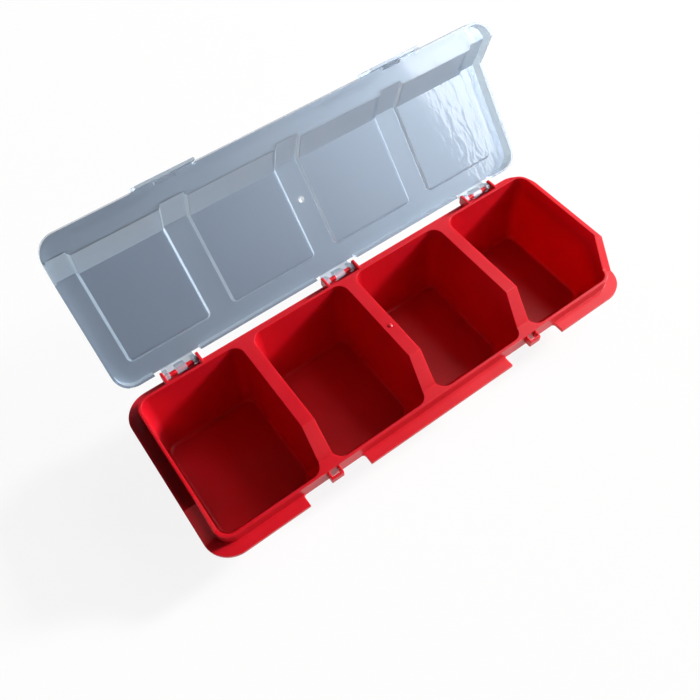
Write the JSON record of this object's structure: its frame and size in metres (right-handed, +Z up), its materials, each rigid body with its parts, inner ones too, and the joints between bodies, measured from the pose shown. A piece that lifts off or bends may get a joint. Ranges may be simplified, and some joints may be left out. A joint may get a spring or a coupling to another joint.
{
  "type": "screw organizer box",
  "caption": "Long shallow tray with a row of tapering pockets, a flanged rim with a sloped front, and a clear hinged lid with snap latch tabs.",
  "frame": {"origin": "middle of the open box's footprint, on the surface that its pockets stand on", "axes": "+X along the box, +Y from the sloped front to the hinges, +Z up"},
  "size_m": [0.2944, 0.1516, 0.1521],
  "materials": {
    "red_plastic": "smooth moulded",
    "clear_plastic": "clear moulded"
  },
  "bodies": {
    "base": {"base_tray": "red_plastic", "left_hinge_bracket": "red_plastic", "left_hinge_pin": "red_plastic", "middle_hinge_bracket": "red_plastic", "middle_hinge_pin": "red_plastic", "right_hinge_bracket": "red_plastic", "right_hinge_pin": "red_plastic", "left_latch_catch": "red_plastic", "right_latch_catch": "red_plastic"},
    "lid": {"lid_shell": "clear_plastic", "left_hinge_clip": "clear_plastic", "middle_hinge_clip": "clear_plastic", "right_hinge_clip": "clear_plastic"},
    "left_latch": {"left_latch_tab": "clear_plastic"},
    "right_latch": {"right_latch_tab": "clear_plastic"}
  },
  "joints": [
    {"name": "lid_hinge", "type": "hinge", "parent": "base", "child": "lid", "pos_m": [0, 0.02477, 0.0534], "axis": [1, 0, 0], "range_deg": [0, 129]},
    {"name": "left_latch_film", "type": "hinge", "parent": "lid", "child": "left_latch", "pos_m": [-0.07115, 0.07478, 0.13891], "axis": [1, 0, 0], "range_deg": [-12, 0]},
    {"name": "right_latch_film", "type": "hinge", "parent": "lid", "child": "right_latch", "pos_m": [0.07115, 0.07478, 0.13891], "axis": [1, 0, 0], "range_deg": [-12, 0]}
  ]
}
